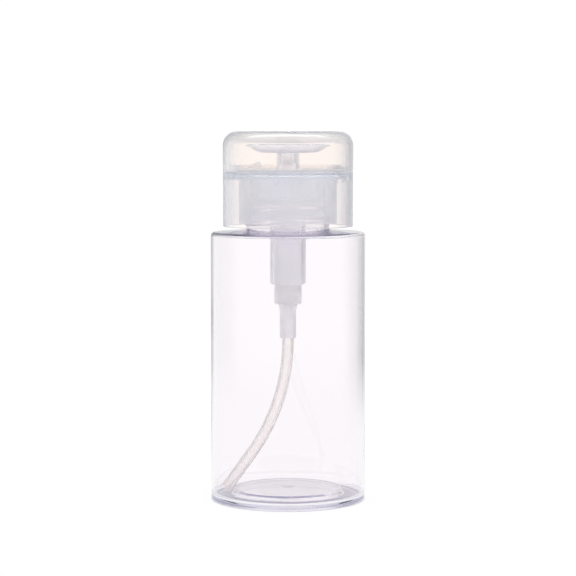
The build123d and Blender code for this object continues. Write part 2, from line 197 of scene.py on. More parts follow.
@dataclass(frozen=True)
class NaturalPolyolefin:
    """Unpigmented polypropylene or polyethylene: a creamy clear wall where it is thin, and a
    bluish milk where it is thick or seen edge on, under a satin skin.

    The wall is a mix of a clear and a milky plastic. Its haze is how much of it is milky, and
    grazing_haze is how much is added where the wall is seen edge on.
    """

    name: str
    tint: str = "fffaf6"
    milk: str = "dcdce4"
    haze: float = 0.04
    grazing_haze: float = 0.5
    grazing_from: float = 0.35
    roughness: float = 0.03
    skin_roughness: float = 0.35
    ior: float = 1.49
    passed_tint: str = "fcfcfd"
    depth_tint: str = "8f929e"
    depth_density: float = 10.0
    # Thick walls are those inside a radius and those in a band of heights. As set here, only
    # the cold spot of the gate on the axis is thick.
    thick_wall_tint: str = "fdfdfe"
    thick_wall_haze: float = 0.30
    thick_inside_mm: float = 0.0
    thick_band_mm: tuple[float, float] = (1000.0, 1001.0)
    inside_edge_mm: float = 0.6
    band_rise_mm: float = 2.0
    band_fall_mm: float = 0.3
    # The melt's flow leaves faint clouds, about a third as wide as the neck.
    flow_mm: float = 9.0
    flow_fac: tuple[float, float] = (0.3, 0.7)
    flow_levels: tuple[float, float] = (0.8, 1.2)
    # The spark-eroded grain of the mould is about 0.05 mm wide and is drawn ten times as coarse,
    # so that it shows in the render.
    grain_mm: float = 0.5
    grain_depth_mm: float = 0.1
    grain_strength: float = 0.04

    def wall_kind(self, tree: NodeTree, place: NodeSocket) -> NodeSocket:
        """Tell the thick walls of a moulding, inside and on top, from its thin outer one.

        Args:
            tree: the material's tree.
            place: object coordinates.

        Returns:
            A socket that is 1 on the thick inner walls and 0 on the thin outer one.
        """
        level = add_node(tree, "VectorMath", {1: (1.0, 1.0, 0.0)}, {0: place}, operation="MULTIPLY")
        radius = add_node(tree, "VectorMath", links={0: level}, operation="LENGTH")
        height = add_node(tree, "SeparateXYZ", links={0: place})
        low, high = self.thick_band_mm
        inside, above, below = (
            add_node(tree, "MapRange", {"From Min": start * MM, "From Max": end * MM},
                     {"Value": measure})
            for measure, start, end in (
                (radius.outputs["Value"], self.thick_inside_mm + self.inside_edge_mm,
                 self.thick_inside_mm),
                (height.outputs["Z"], low - self.band_rise_mm, low),
                (height.outputs["Z"], high + self.band_fall_mm, high)))
        band = add_node(tree, "Math", links={0: above, 1: below}, operation="MULTIPLY")
        inner = add_node(tree, "Math", links={0: inside, 1: below}, operation="MULTIPLY")
        return add_node(tree, "Math", links={0: inner, 1: band}, operation="MAXIMUM").outputs[0]

    def haze_level(self, tree: NodeTree, place: NodeSocket, thick: NodeSocket) -> NodeSocket:
        """Give how milky the wall is: clouded by the melt's flow, and more so edge on.

        Args:
            tree: the material's tree.
            place: object coordinates.
            thick: 1 on thick walls and 0 on thin ones.

        Returns:
            A socket from 0 for clear to 1 for milk.
        """
        flow = add_node(tree, "TexNoise",
                        {"Scale": 1 / (self.flow_mm * MM), "Detail": 2.0}, {"Vector": place})
        clouding = add_node(tree, "MapRange",
                            {"From Min": self.flow_fac[0], "From Max": self.flow_fac[1],
                             "To Min": self.flow_levels[0], "To Max": self.flow_levels[1]},
                            {"Value": flow})
        level = add_node(tree, "MapRange",
                         {"To Min": self.haze, "To Max": self.thick_wall_haze}, {"Value": thick})
        clouded = add_node(tree, "Math", links={0: clouding, 1: level}, operation="MULTIPLY")
        edge_on = add_node(tree, "LayerWeight", {"Blend": 0.5})
        along = add_node(tree, "MapRange",
                         {"From Min": self.grazing_from, "From Max": 1.0, "To Min": 0.0,
                          "To Max": self.grazing_haze}, {"Value": edge_on.outputs["Facing"]})
        return add_node(tree, "Math", links={0: clouded, 1: along}, operation="ADD",
                        use_clamp=True).outputs[0]

    def material(self) -> Material:
        """Build the node material.

        Returns:
            The material.
        """
        material, tree, out = new_material(self.name)
        place = add_node(tree, "TexCoord").outputs["Object"]
        thick = self.wall_kind(tree, place)
        colour = add_node(tree, "Mix", {"A": linear(self.tint), "B": linear(self.thick_wall_tint)},
                          {"Factor": thick}, data_type="RGBA")
        haze = self.haze_level(tree, place, thick)
        grain = add_node(tree, "TexNoise",
                         {"Scale": 1 / (self.grain_mm * MM), "Detail": 2.0}, {"Vector": place})
        bump = add_node(tree, "Bump",
                        {"Strength": self.grain_strength, "Distance": self.grain_depth_mm * MM},
                        {"Height": grain})
        clear = add_node(tree, "BsdfPrincipled",
                         {"Roughness": self.roughness, "IOR": self.ior, "Transmission Weight": 1.0},
                         {"Base Color": colour.outputs["Result"], "Normal": bump})
        milky = add_node(tree, "BsdfPrincipled",
                         {"Base Color": linear(self.milk), "Roughness": self.skin_roughness,
                          "IOR": self.ior}, {"Normal": bump})
        wall = add_node(tree, "MixShader", links={0: haze, 1: clear, 2: milky})
        finish_clear(out, wall, self.passed_tint, self.depth_tint, self.depth_density)
        return material


@dataclass(frozen=True)
class StainlessSteel:
    """Stainless steel wire and balls, drawn and polished: a bright metal whose gloss varies with
    fine scratches. They are about 0.02 mm wide and are drawn coarser, so that they show."""

    name: str = "stainless steel, polished"
    colour: str = "f6f0e8"
    roughness: float = 0.32
    roughness_spread: float = 0.3
    scratch_mm: float = 0.4

    def material(self) -> Material:
        """Build the node material.

        Returns:
            The material.
        """
        material, tree, out = new_material(self.name)
        place = add_node(tree, "TexCoord").outputs["Object"]
        scratch = add_node(tree, "TexNoise", {"Scale": 1 / (self.scratch_mm * MM)},
                           {"Vector": place})
        rough = add_node(tree, "MapRange",
                         {"To Min": (1 - self.roughness_spread) * self.roughness,
                          "To Max": (1 + self.roughness_spread) * self.roughness},
                         {"Value": scratch})
        metal = add_node(tree, "BsdfPrincipled",
                         {"Base Color": linear(self.colour), "Metallic": 1.0}, {"Roughness": rough})
        tree.links.new(metal.outputs[0], out.inputs["Surface"])
        return material


# The thin shroud is clear and creamy and turns milky at its sides. The skirt in it and the deck,
# which are thicker, are a bluish grey milk.
CLOSURE_FINISH = NaturalPolyolefin(
    "natural polypropylene, thin shroud and thick skirt", milk="cbcfd7", haze=0.09,
    grazing_haze=0.7, grazing_from=0.3, thick_wall_haze=0.27, thick_inside_mm=18.4,
    thick_band_mm=(116.0, 117.8))
# The thinnest and clearest wall: creamy in the middle, with a grey rim at its sides and top.
LID_FINISH = NaturalPolyolefin(
    "natural polypropylene, thin lid", milk="d5d7dd", haze=0.03, grazing_haze=0.7,
    roughness=0.05, grain_strength=0.02)
# Solid wedges, so paler and milkier than the walls beside them.
HINGE_FINISH = NaturalPolyolefin(
    "natural polypropylene, hinge wings", tint="f8f9fb", milk="f0f2f4", haze=0.45,
    grazing_haze=0.6, roughness=0.08)
# A neutral pale milk that the light of the lid's wall falls through.
DISH_FINISH = NaturalPolyolefin(
    "natural polypropylene, dish", tint="fdfdfe", milk="e9eaee", haze=0.24, grazing_haze=0.4)
# Two walls deep, the sleeve over the cylinder: a half clear grey.
SLEEVE_FINISH = NaturalPolyolefin(
    "natural polypropylene, pump sleeve", tint="fdfdfd", milk="dadbdf", haze=0.29)
# The thickest mouldings, which hardly let the eye through: an even pale grey.
PUMP_FINISH = NaturalPolyolefin(
    "natural polypropylene, thick pump parts", tint="fdfdfd", milk="dbdbdf", haze=0.42)
# A thin white shadow in the socket tube.
STEM_FINISH = NaturalPolyolefin(
    "natural polypropylene, stem", tint="fefdfd", milk="ebecf0", haze=0.16, grazing_haze=0.3)
# Waxy, duller than the polypropylene.
SOFT_FINISH = NaturalPolyolefin(
    "natural polyethylene, soft", milk="dedbda", haze=0.3, roughness=0.2)
# Warm and clear along its middle, with two grey lines where the wall is seen edge on.
TUBE_FINISH = NaturalPolyolefin(
    "natural polyethylene, extruded tube", tint="fefcfa", milk="d8d5d3", haze=0.14,
    grazing_haze=1.0, grazing_from=0.1, grain_strength=0.01)


@dataclass(frozen=True)
class SoftBox:
    """A round lamp: its place and width in metres and its power in watts."""

    name: str
    place: tuple[float, float, float]
    width: float
    power: float

    def hang(self, target: Vector) -> None:
        """Hang the lamp and turn it to its target.

        Args:
            target: the place that it points at, in metres.
        """
        data = bpy.data.lights.new(self.name, "AREA")
        data.shape, data.size, data.energy = "DISK", self.width, self.power
        lamp = bpy.data.objects.new(self.name, data)
        bpy.context.scene.collection.objects.link(lamp)
        lamp.location = self.place
        lamp.rotation_euler = (target - lamp.location).to_track_quat("-Z", "Y").to_euler()


@dataclass(frozen=True)
class Studio:
    """Pale floor, even white surround, soft lamps and the photograph's camera.

    Distances are in metres, except those of the painted contact shadow under the foot, which are in
    millimetres. Levels are brightnesses, where 1 is white.
    """

    camera_distance: float = 0.72
    camera_height: float = 0.131
    camera_tilt_degrees: float = 4.401
    picture_pixels: int = 576
    focal_pixels: float = 2026.2
    sensor_mm: float = 36.0
    floor_size: float = 16.0
    floor_colour: str = "e6e6e6"
    white_level: float = 1.04
    even_light: float = 0.72
    # How much of the floor near the object is plain paper, which takes its shadow.
    paper_share: float = 0.18
    shadow_near: float = 0.15
    shadow_far: float = 0.6
    # Painted contact shadow: how dark the floor is painted under the foot, by distance from the
    # axis. The clear foot shows it.
    painted_contact_shadow_colour: str = "8b899f"
    painted_contact_shadow_reach: float = 30.0
    painted_contact_shadow: Levels = (
        (0.0, 0.15), (18.6, 0.15), (19.4, 0.78), (26.5, 0.78), (27.8, 0.0))
    # What the plastic mirrors from behind the object, from its left at -1 to its right at 1.
    mirrored_levels: Levels = (
        (-1.0, 1.15), (-0.65, 1.15), (-0.45, 0.68), (-0.3, 0.6), (-0.15, 0.85), (0.0, 1.0),
        (0.15, 0.9), (0.35, 0.75), (0.55, 0.42), (0.8, 0.26), (1.0, 0.4))
    plain_level: float = 1.0
    # What counts as behind and as level: by the Y and Z of a direction, a unit vector, and for
    # the floor by the distance from the axis.
    front_until: float = -0.1
    behind_from: float = 0.3
    steep_from: float = 0.6
    level_until: float = 0.25
    floor_steep_until: float = 0.15
    floor_level_from: float = 0.5
    # Light that is held between two faces of clear plastic needs many bounces to get out.
    clear_bounces: int = 256
    diffuse_bounces: int = 3
    transparent_bounces: int = 48
    lamp_target: tuple[float, float, float] = (0.0, 0.0, 0.07)
    lamps: tuple[SoftBox, ...] = (
        SoftBox("left_softbox", (-1.1, -0.5, 0.9), 1.8, 3.5),
        SoftBox("right_softbox", (1.1, -0.5, 0.9), 1.8, 5.0),
        SoftBox("top_softbox", (0.0, 0.1, 1.5), 2.4, 7.0))

    def camera(self) -> None:
        """Place the camera level with the lid's top, tilted down to the middle of the bottle."""
        data = bpy.data.cameras.new("camera")
        data.sensor_width = self.sensor_mm
        data.lens = self.sensor_mm * self.focal_pixels / self.picture_pixels
        camera = bpy.data.objects.new("camera", data)
        bpy.context.scene.collection.objects.link(camera)
        camera.location = (0.0, -self.camera_distance, self.camera_height)
        tilt = math.radians(self.camera_tilt_degrees)
        camera.rotation_euler = (math.pi / 2 - tilt, 0.0, 0.0)
        bpy.context.scene.camera = camera

    @staticmethod
    def ramp(tree: NodeTree, place: NodeSocket, levels: Levels) -> NodeSocket:
        """Turn a place from 0 to 1 into a level, along straight runs.

        Args:
            tree: the tree that gets the node.
            place: where along the ramp.
            levels: place and level of each stop.

        Returns:
            The level.
        """
        made = add_node(tree, "ValToRGB", links={"Fac": place})
        stops = made.color_ramp.elements
        while len(stops) < len(levels):
            stops.new(0.5)
        for stop, (position, level) in zip(stops, levels):
            stop.position, stop.color = position, (level, level, level, 1.0)
        return made.outputs["Color"]

    def mirrored_level(self, tree: NodeTree, direction: NodeSocket,
                       level_share: NodeSocket) -> NodeSocket:
        """Give how bright the studio is in a mirrored direction: plain white in front and above,
        and behind the object a bright window on the left and a dark screen on the right.

        Args:
            tree: the tree of the floor or the world.
            direction: a unit vector away from the object.
            level_share: 1 for a level direction, 0 for a steep one.

        Returns:
            The brightness.
        """
        parts = add_node(tree, "SeparateXYZ", links={0: direction})
        place = add_node(tree, "MapRange", {"From Min": -1.0, "From Max": 1.0},
                         {"Value": parts.outputs["X"]})
        ramp = self.ramp(tree, place.outputs[0],
                         tuple(((side + 1) / 2, level) for side, level in self.mirrored_levels))
        behind = add_node(tree, "MapRange",
                          {"From Min": self.front_until, "From Max": self.behind_from},
                          {"Value": parts.outputs["Y"]})
        share = add_node(tree, "Math", links={0: behind, 1: level_share}, operation="MULTIPLY")
        level = add_node(tree, "Mix", {"A": self.plain_level}, {"Factor": share, "B": ramp})
        return level.outputs["Result"]

    @staticmethod
    def show_by_ray(out: Node, seen: Node, mirrored: Node, light: Node) -> None:
        """Show one shader to the eye, one in mirrors, and one as light on the object.

        Args:
            out: the output node of the floor or the world.
            seen: the shader that is seen straight or through clear walls.
            mirrored: the one that is seen once a surface has mirrored the ray.
            light: the one that lights the object.
        """
        tree = out.id_data
        path = add_node(tree, "LightPath")
        is_mirrored = add_node(tree, "Math", {1: 0.5},
                               {0: path.outputs["Glossy Depth"]}, operation="GREATER_THAN")
        for ray, shown in ((is_mirrored, mirrored), (path.outputs["Is Diffuse Ray"], light)):
            seen = add_node(tree, "MixShader", links={0: ray, 1: seen, 2: shown})
        tree.links.new(seen.outputs[0], out.inputs["Surface"])

    def seen_floor(self, tree: NodeTree, paper: Node, radius: NodeSocket) -> Node:
        """Shade the floor as it is seen: white, with the object's shadow and a painted contact
        shadow under the foot.

        Args:
            tree: the floor's tree.
            paper: the floor's plain paper.
            radius: distance from the axis.

        Returns:
            The shader node.
        """
        glow = add_node(tree, "Emission", {"Strength": self.white_level})
        share = add_node(tree, "MapRange",
                         {"From Min": self.shadow_near, "From Max": self.shadow_far,
                          "To Min": self.paper_share, "To Max": 0.0},
                         {"Value": radius}, interpolation_type="SMOOTHSTEP")
        open_floor = add_node(tree, "MixShader", links={0: share, 1: glow, 2: paper})
        # Painted shadow: darker paper under the foot, set by distance from the axis.
        reach_share = add_node(tree, "Math", {1: self.painted_contact_shadow_reach * MM}, {0: radius},
                               operation="DIVIDE")
        painted_contact_shadow = self.ramp(tree, reach_share.outputs[0],
                            tuple((place / self.painted_contact_shadow_reach, level)
                                  for place, level in self.painted_contact_shadow))
        painted_shadow_paper = add_node(tree, "BsdfDiffuse", {"Color": linear(self.painted_contact_shadow_colour)})
        return add_node(tree, "MixShader", links={0: painted_contact_shadow, 1: open_floor, 2: painted_shadow_paper})

    def floor(self) -> None:
        """Lay the pale floor, whose colour meets the white surround and takes a soft shadow, with a
        painted contact shadow under the foot.
        """
        bpy.ops.mesh.primitive_plane_add(size=self.floor_size)
        floor = bpy.context.active_object
        floor.name = "floor"
        material, tree, out = new_material("white sweep, matt paper")
        place = add_node(tree, "TexCoord").outputs["Object"]
        radius = add_node(tree, "VectorMath", links={0: place}, operation="LENGTH").outputs["Value"]
        direction = add_node(tree, "VectorMath", links={0: place}, operation="NORMALIZE")
        paper = add_node(tree, "BsdfDiffuse", {"Color": linear(self.floor_colour)})
        seen = self.seen_floor(tree, paper, radius)
        far = add_node(tree, "MapRange",
                       {"From Min": self.floor_steep_until, "From Max": self.floor_level_from},
                       {"Value": radius}, interpolation_type="SMOOTHSTEP")
        room = add_node(tree, "Emission",
                        links={"Strength": self.mirrored_level(tree, direction.outputs[0],
                                                               far.outputs[0])})
        self.show_by_ray(out, seen, room, paper)
        floor.data.materials.append(material)

    def surround(self) -> None:
        """Make the world: white where it is seen straight or through clear walls, a soft studio
        in reflections, and an even light on the object."""
        world = bpy.data.worlds.new("studio surround")
        bpy.context.scene.world = world
        world.use_nodes = True
        tree = world.node_tree
        tree.nodes.clear()
        direction = add_node(tree, "TexCoord").outputs["Generated"]
        white, even = (add_node(tree, "Background", {"Color": (1, 1, 1, 1), "Strength": strength})
                       for strength in (self.white_level, self.even_light))
        parts = add_node(tree, "SeparateXYZ", links={0: direction})
        flat = add_node(tree, "MapRange",
                        {"From Min": self.steep_from, "From Max": self.level_until},
                        {"Value": parts.outputs["Z"]})
        studio = add_node(tree, "Background",
                          links={"Strength": self.mirrored_level(tree, direction, flat.outputs[0])})
        self.show_by_ray(add_node(tree, "OutputWorld"), white, studio, even)

    def light_paths(self) -> None:
        """Allow for the many clear walls that stand behind each other."""
        scene = bpy.context.scene
        scene.view_settings.view_transform = "Standard"
        cycles = scene.cycles
        cycles.max_bounces = self.clear_bounces
        cycles.transmission_bounces = self.clear_bounces
        cycles.glossy_bounces = self.clear_bounces
        cycles.diffuse_bounces = self.diffuse_bounces
        cycles.transparent_max_bounces = self.transparent_bounces
        cycles.caustics_reflective = cycles.caustics_refractive = False

    def build(self) -> None:
        """Build the whole set."""
        self.light_paths()
        self.camera()
        self.floor()
        self.surround()
        for lamp in self.lamps:
            lamp.hang(Vector(self.lamp_target))


def everywhere(_place: Vector) -> bool:
    """Take every vertex or face."""
    return True


def at_height(height: float, reach: float = SAME_HEIGHT) -> Test:
    """Take what lies at one height.

    Args:
        height: the height in metres.
        reach: how far from it still counts, in metres.

    Returns:
        The test.
    """
    return lambda place: abs(place.z - height) < reach


def in_direction(angle: float) -> Test:
    """Take what lies on one side of the Z axis.

    Args:
        angle: the direction from the axis, from +X, in radians.

    Returns:
        The test.
    """
    here = Vector((math.cos(angle), math.sin(angle)))
    return lambda place: (place.xy.normalized() - here).length < SAME_DIRECTION


class Workpiece:
    """A mesh that is shaped with hand tools, from a primitive to the finished piece."""

    def __init__(self, name: str, primitive: Callable[..., object], **settings: object) -> None:
        """Add the primitive that the piece starts from.

        Args:
            name: the piece's name.
            primitive: the operator that adds it.
            **settings: the operator's settings, lengths in metres.
        """
        bpy.ops.object.select_all(action="DESELECT")
        primitive(**settings)
        self.piece = bpy.context.active_object
        self.piece.name = self.piece.data.name = name
        bpy.ops.object.transform_apply(location=True, rotation=True, scale=True)

    @classmethod
    def along(cls, name: str, route: list[Vector], radius: float, sides: int,
              capped: bool) -> "Workpiece":
        """Make a round wire or tube skin along a route.

        Args:
            name: the piece's name.
            route: points along its middle, in millimetres.
            radius: the radius in millimetres.
            sides: how many sides the round section has.
            capped: whether the ends are closed.

        Returns:
            The workpiece.
        """
        data = bpy.data.curves.new(name, "CURVE")
        data.dimensions = "3D"
        data.bevel_depth = radius * MM
        data.bevel_resolution = (sides - 4) // 2
        data.use_fill_caps = capped
        line = data.splines.new("POLY")
        line.points.add(len(route) - 1)
        for point, place in zip(line.points, route):
            point.co = (*(place * MM), 1.0)
        bpy.context.scene.collection.objects.link(bpy.data.objects.new(name, data))

        def mesh_of_curve() -> None:
            """Turn the curve into a mesh, as the selected and active object."""
            curve = bpy.data.objects[name]
            curve.select_set(True)
            bpy.context.view_layer.objects.active = curve
            bpy.ops.object.convert(target="MESH")

        return cls(name, mesh_of_curve)

    @classmethod
    def section(cls, name: str, width: float, height: float,
                middle: tuple[float, float]) -> "Workpiece":
        """Make an upright rectangle, the section of a piece that is swept round the Z axis.

        Args:
            name: the piece's name.
            width: its size along X in metres.
            height: its size along Z in metres.
            middle: where its middle is, along X and Z, in metres.

        Returns:
            The workpiece.
        """
        made = cls(name, bpy.ops.mesh.primitive_plane_add, size=1.0,
                   rotation=(math.pi / 2, 0.0, 0.0))
        return made.shape(everywhere,
                          partial(bpy.ops.transform.resize, value=(width, 1.0, height)),
                          partial(bpy.ops.transform.translate, value=(middle[0], 0.0, middle[1])))

    def sweep(self, angle: float, rise: float, steps: int) -> "Workpiece":
        """Sweep the section's outline round the Z axis, into a skin that is open at both ends.

        Args:
            angle: how far round in radians.
            rise: how far up in metres.
            steps: how many steps it is swept in.

        Returns:
            The workpiece itself.
        """
        self.shape(everywhere, partial(bpy.ops.mesh.delete, type="ONLY_FACE"), kind="FACE")
        return self.modify("SCREW", angle=angle, screw_offset=rise, steps=steps,
                           render_steps=steps, use_merge_vertices=False)

    def activate(self) -> None:
        """Make the piece the only selected object."""
        bpy.ops.object.select_all(action="DESELECT")
        self.piece.select_set(True)
        bpy.context.view_layer.objects.active = self.piece

    def shape(self, test: Test, *steps: Callable[[], object], kind: str = "VERT") -> "Workpiece":
        """Select what lies where a test says, in edit mode, and run operators on it.

        Args:
            test: says of a vertex, or of a face's middle, whether it is taken.
            *steps: the operators to run, with their settings bound.
            kind: VERT or FACE.

        Returns:
            The workpiece itself.
        """
        self.activate()
        bpy.ops.object.mode_set(mode="EDIT")
        bpy.ops.mesh.select_mode(type=kind)
        bpy.ops.mesh.select_all(action="DESELECT")
        mesh = bmesh.from_edit_mesh(self.piece.data)
        if kind == "VERT":
            taken = [vertex for vertex in mesh.verts if test(vertex.co)]
        else:
            taken = [face for face in mesh.faces if test(face.calc_center_median())]
        for item in taken:
            item.select_set(True)
        mesh.select_flush_mode()
        bmesh.update_edit_mesh(self.piece.data)
        for step in steps:
            step()
        bpy.ops.object.mode_set(mode="OBJECT")
        return self

    def modify(self, kind: str, **settings: object) -> "Workpiece":
        """Add a modifier and apply it.

        Args:
            kind: the modifier's type, such as "SCREW".
            **settings: its properties.

        Returns:
            The workpiece itself.
        """
        self.activate()
        modifier = self.piece.modifiers.new(kind.lower(), kind)
        for name, value in settings.items():
            setattr(modifier, name, value)
        bpy.ops.object.modifier_apply(modifier=modifier.name)
        return self

    def turn_and_place(self, turn: float, place: tuple[float, float, float]) -> "Workpiece":
        """Turn the finished mesh about Z and move it to its place.

        Args:
            turn: angle in radians.
            place: shift in metres.

        Returns:
            The workpiece itself.
        """
        self.activate()
        self.piece.rotation_euler = (0.0, 0.0, turn)
        self.piece.location = place
        bpy.ops.object.transform_apply(location=True, rotation=True, scale=True)
        return self

    def close(self, smooth_angle: float = 40.0) -> "Workpiece":
        """Merge doubles, turn the faces outwards and smooth the piece.

        Args:
            smooth_angle: degrees between faces up to which the edge is smooth.

        Returns:
            The workpiece itself.
        """
        self.shape(everywhere, partial(bpy.ops.mesh.remove_doubles, threshold=MERGE_WITHIN),
                   partial(bpy.ops.mesh.normals_make_consistent, inside=False))
        self.activate()
        bpy.ops.object.shade_smooth_by_angle(angle=math.radians(smooth_angle))
        return self

    def hand_over(self, material: Material, slot: Slot, body: str = "") -> Object:
        """Finish the piece: its material and the body that it rides on.

        Args:
            material: what it is made of.
            slot: the record's slot; not used.
            body: the body that carries it, or none for a piece that joins two bodies.

        Returns:
            The finished piece.
        """
        if body:
            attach(self.piece, body)
        self.piece.data.materials.clear()
        self.piece.data.materials.append(material)
        log.info("%s: %s, %d faces", self.piece.name, body or "joins two bodies",
                 len(self.piece.data.polygons))
        return self.piece


def dress(material: Material, *nodes: str) -> None:
    """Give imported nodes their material.

    Args:
        material: what they are made of.
        *nodes: the nodes' names.
    """
    for node in nodes:
        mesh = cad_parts[node].data
        mesh.materials.clear()
        mesh.materials.append(material)
        log.info("%s is %s", node, material.name)


@dataclass(frozen=True)
class ScrewThread:
    """One start of a right-hand thread, 1 1/4 turns long, that runs out at both ends."""

    root_radius: float
    crest_radius: float
    start_height: float
    start_angle: float
    pitch: float = 4.23
    turns: float = 1.25
    root_width: float = 1.7
    crest_width: float = 0.7
    crest_rounding: float = 0.22
    crest_share: float = 0.1
    raised_share: float = 0.3
    steps_per_turn: int = 96
    run_out_angle: float = 24.0
    run_out_steps: int = 6

    def build(self, name: str) -> Workpiece:
        """Model the ridge from its section, screwed round the axis.

        Args:
            name: the piece's name.

        Returns:
            The ridge, in place.
        """
        root, crest = self.root_radius * MM, self.crest_radius * MM
        turn, rise = FULL_TURN * self.turns, self.pitch * self.turns * MM
        depth = abs(crest - root)
        ridge = Workpiece.section(name, depth, self.root_width * MM, ((root + crest) / 2, 0.0))
        ridge.shape(lambda place: abs(place.x - crest) < self.crest_share * depth,
                    partial(bpy.ops.transform.resize,
                            value=(1.0, 1.0, self.crest_width / self.root_width)),
                    partial(bpy.ops.mesh.bevel, offset=self.crest_rounding * MM, segments=3,
                            affect="VERTICES"))
        ridge.sweep(turn, rise, round(self.steps_per_turn * self.turns))
        self.run_out(ridge, 1, turn, rise)
        self.run_out(ridge, -1, 0.0, 0.0)
        return ridge.close().turn_and_place(math.radians(self.start_angle),
                                            (0, 0, self.start_height * MM))

    def section(self, angle: float, height: float, off_root: float = -1.0) -> Test:
        """Take the ridge's section at one angle, or the raised part of it.

        Args:
            angle: the section's angle in radians.
            height: the height of its middle in metres.
            off_root: how far from the root's radius it has to lie, in metres; all does by default.

        Returns:
            The test.
        """
        facing, level = in_direction(angle), at_height(height, self.root_width * MM)
        return lambda place: (facing(place) and level(place)
                              and abs(place.xy.length - self.root_radius * MM) > off_root)

    def run_out(self, ridge: Workpiece, direction: int, angle: float, height: float) -> None:
        """Let one end of the ridge sink into its root, and close it.

        Args:
            ridge: the ridge.
            direction: 1 at the upper end, -1 at the lower end.
            angle: the angle of that end in radians.
            height: its height in metres.
        """
        step = math.radians(self.run_out_angle / self.run_out_steps)
        rise = self.pitch * MM * step / FULL_TURN
        root = self.root_radius * MM
        depth = (self.crest_radius - self.root_radius) * MM
        shares = [math.cos(math.pi / 2 * number / self.run_out_steps)
                  for number in range(self.run_out_steps + 1)]
        for before, share in zip(shares, shares[1:]):
            ridge.shape(self.section(angle, height), bpy.ops.mesh.extrude_edges_move,
                        partial(bpy.ops.transform.rotate, value=-direction * step, orient_axis="Z",
                                center_override=(0.0, 0.0, 0.0)),
                        partial(bpy.ops.transform.translate, value=(0.0, 0.0, direction * rise)))
            height += direction * rise
            angle += direction * step
            ratio = (root + depth * share) / (root + depth * before)
            ridge.shape(self.section(angle, height, self.raised_share * abs(depth) * before),
                        partial(bpy.ops.transform.resize, value=(ratio, ratio, 1.0),
                                center_override=(0.0, 0.0, height)))
        ridge.shape(self.section(angle, height), bpy.ops.mesh.edge_face_add)


@dataclass
class Bottle:
    """Clear bottle: its wall, the thread on its neck and the nub where it was blown."""

    pet: Material
    neck_radius: float = 14.68
    thread_crest_radius: float = 15.8
    thread_start: float = 98.7
    thread_angle: float = 200.0
    crown_height: float = 3.4
    nub_sides: int = 48
    nub_radius: float = 1.5
    nub_height: float = 0.5
    nub_rounding: float = 0.18
    nub_drop: float = 0.35
    dimple_inset: float = 0.45
    dimple_depth: float = 0.3

    def thread(self) -> None:
        """Model the thread on the neck."""
        ridge = ScrewThread(self.neck_radius, self.thread_crest_radius, self.thread_start,
                            self.thread_angle)
        ridge.build("neck_thread").hand_over(self.pet, Slot.CLEAR_PET, "bottle")

    def gate_nub(self) -> None:
        """Model the nub that the blow moulding leaves under the middle of the base, with its
        middle a little below the disc and a dimple in its end."""
        nub = Workpiece("base_gate_nub", bpy.ops.mesh.primitive_cylinder_add,
                        vertices=self.nub_sides, radius=self.nub_radius * MM,
                        depth=self.nub_height * MM,
                        location=(0, 0, (self.crown_height - self.nub_drop * self.nub_height) * MM))
        bottom = (self.crown_height - (self.nub_drop + 0.5) * self.nub_height) * MM
        nub.shape(at_height(bottom),
                  partial(bpy.ops.mesh.inset, thickness=self.dimple_inset * self.nub_radius * MM),
                  partial(bpy.ops.transform.translate,
                          value=(0, 0, self.dimple_depth * self.nub_height * MM)),
                  kind="FACE")
        nub.modify("BEVEL", width=self.nub_rounding * MM, segments=3, limit_method="ANGLE")
        nub.close().hand_over(self.pet, Slot.CLEAR_PET, "bottle")

    def build(self) -> None:
        """Build the bottle."""
        dress(self.pet, "bottle")
        self.thread()
        self.gate_nub()


